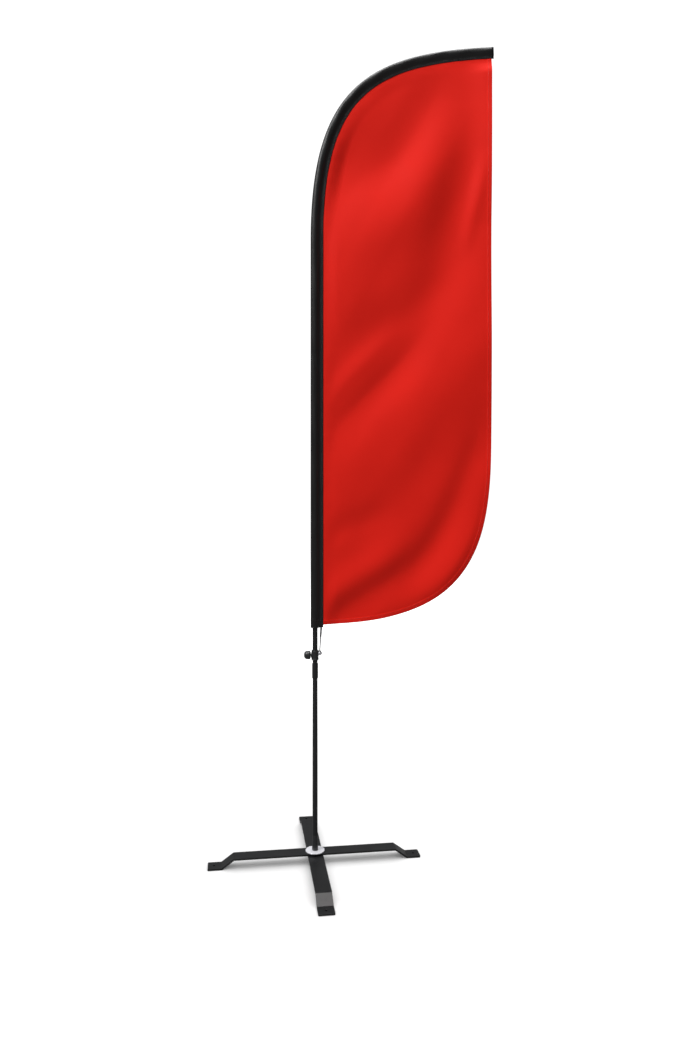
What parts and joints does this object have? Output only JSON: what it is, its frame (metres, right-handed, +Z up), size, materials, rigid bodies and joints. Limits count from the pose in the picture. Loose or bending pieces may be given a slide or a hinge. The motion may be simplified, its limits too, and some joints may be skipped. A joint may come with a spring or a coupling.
{
  "type": "feather flag with pole",
  "caption": "Feather flag: a red banner and black pocket on a sectioned pole with a bent tip, turning on a folding cross base of flat steel bars.",
  "frame": {"origin": "on the floor, under the middle of the whole flag's bounding box", "axes": "+Z up along the pole, +X from the pole towards the banner's fly edge, +Y away from the front of the banner"},
  "size_m": [0.839, 0.6242, 2.4003],
  "materials": {
    "powder_coat": "satin powder coat",
    "zinc_steel": "bright zinc plate",
    "nylon": "satin",
    "black_tube": "black anodised, satin",
    "fibreglass": "pultruded fibreglass",
    "black_plastic": "moulded, satin",
    "brass": "turned",
    "sleeve_fabric": "woven black polyester",
    "banner_fabric": "knitted red polyester",
    "elastic": "braided shock cord"
  },
  "bodies": {
    "base": {"lower_bar": "powder_coat", "fold_washer": "nylon", "flange_disc": "zinc_steel", "lock_washer": "zinc_steel", "base_nut": "zinc_steel", "spindle": "zinc_steel", "thrust_washer": "nylon", "retaining_clip": "zinc_steel"},
    "folding_bar": {"upper_bar": "powder_coat"},
    "rotator": {"rotator_sleeve": "nylon"},
    "pole": {"pole_foot_ring": "black_plastic", "pole_lower": "black_tube", "pole_ferrule": "black_tube", "pole_spigot": "black_tube", "pole_middle": "black_tube", "middle_ferrule": "black_tube", "pole_upper": "fibreglass", "upper_ferrule": "black_tube", "pole_tip": "fibreglass", "tip_cap": "black_plastic", "flag_sleeve": "sleeve_fabric", "sleeve_tip": "sleeve_fabric", "banner": "banner_fabric", "cord_sheath": "sleeve_fabric"},
    "collar": {"tension_collar": "black_plastic", "thread_insert": "brass", "cord_post": "zinc_steel", "post_washer": "zinc_steel", "cord_hook": "black_plastic", "tension_cord": "elastic"},
    "knob": {"clamp_knob": "black_plastic", "clamp_stud": "zinc_steel"}
  },
  "joints": [
    {"name": "base_fold", "type": "hinge", "parent": "base", "child": "folding_bar", "pos_m": [-0.10741, 0, 0.0275], "axis": [0, 0, 1], "range_deg": [-76, 76]},
    {"name": "pole_swivel", "type": "hinge", "parent": "base", "child": "rotator", "pos_m": [-0.10741, 0, 0.037], "axis": [0, 0, 1], "continuous": true},
    {"name": "pole_lift", "type": "slide", "parent": "rotator", "child": "pole", "axis": [0, 0, 1], "range_m": [0, 0.13]},
    {"name": "collar_slide", "type": "slide", "parent": "pole", "child": "collar", "axis": [0, 0, 1], "range_m": [-0.009, 0.03], "deforming": ["tension_cord"]},
    {"name": "knob_turn", "type": "hinge", "parent": "collar", "child": "knob", "pos_m": [-0.12741, 0, 0.607], "axis": [1, 0, 0], "range_deg": [0, 540]}
  ]
}
